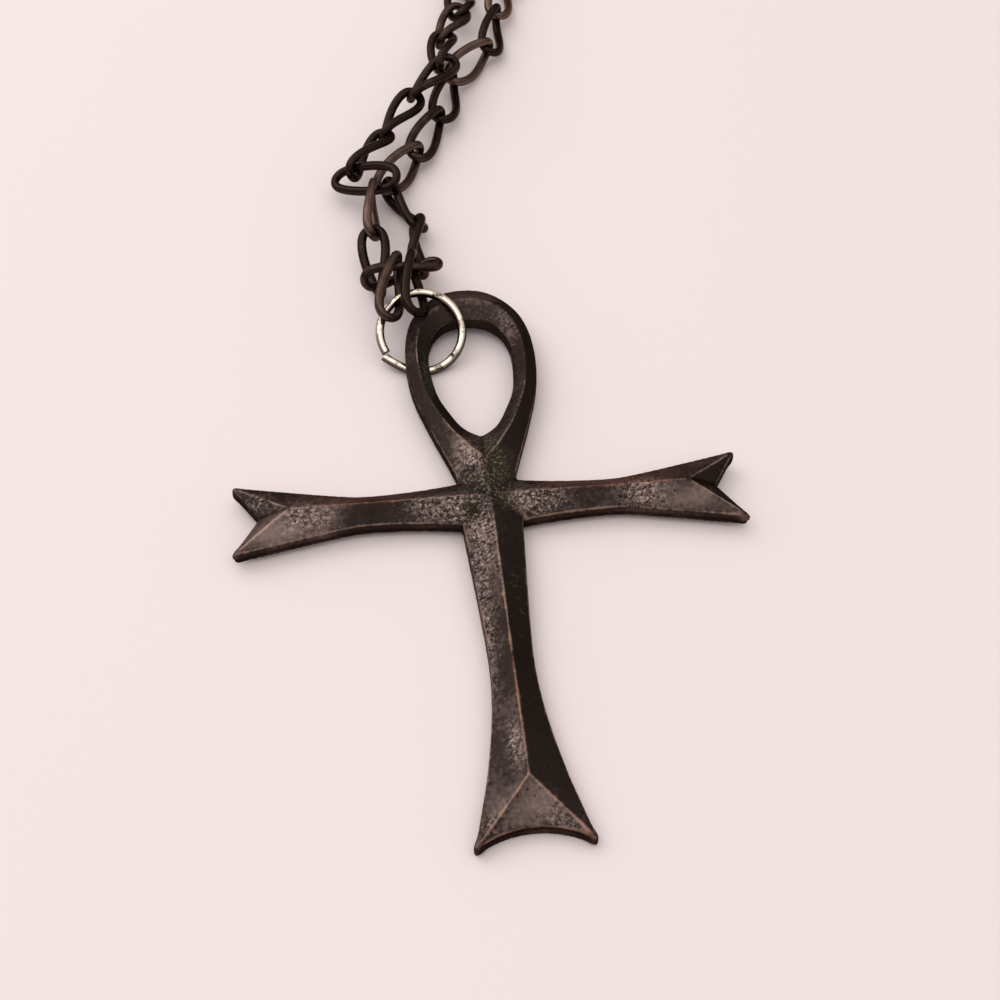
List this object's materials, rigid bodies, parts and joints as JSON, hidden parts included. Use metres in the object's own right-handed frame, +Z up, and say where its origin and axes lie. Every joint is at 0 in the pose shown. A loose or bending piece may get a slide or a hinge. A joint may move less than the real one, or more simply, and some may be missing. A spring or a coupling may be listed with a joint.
{
  "type": "ankh pendant necklace",
  "caption": "Cast ankh pendant with gabled limbs and flared notched ends, hung by a cut wire ring on a twisted curb chain that lies in a closed loop.",
  "frame": {"origin": "on the ground under the middle of the ankh's crossing", "axes": "+Y from the stem up through the loop and along the chain, +X along the right arm, +Z up from the ground on which the pendant lies"},
  "size_m": [0.1456, 0.3168, 0.0079],
  "materials": {
    "dark_cast": "dark antique patina, worn coppery along the ridges and edges",
    "bright_wire": "bright drawn wire, lightly scuffed",
    "dark_chain": "dark bronze-toned plating, polished smooth",
    "dark_clasp": "dark bronze-toned plating, polished smooth"
  },
  "bodies": {
    "root": {"ankh": "dark_cast", "jump_ring": "bright_wire", "chain_left": "dark_chain", "chain_right": "dark_chain", "clasp": "dark_clasp"}
  },
  "joints": []
}
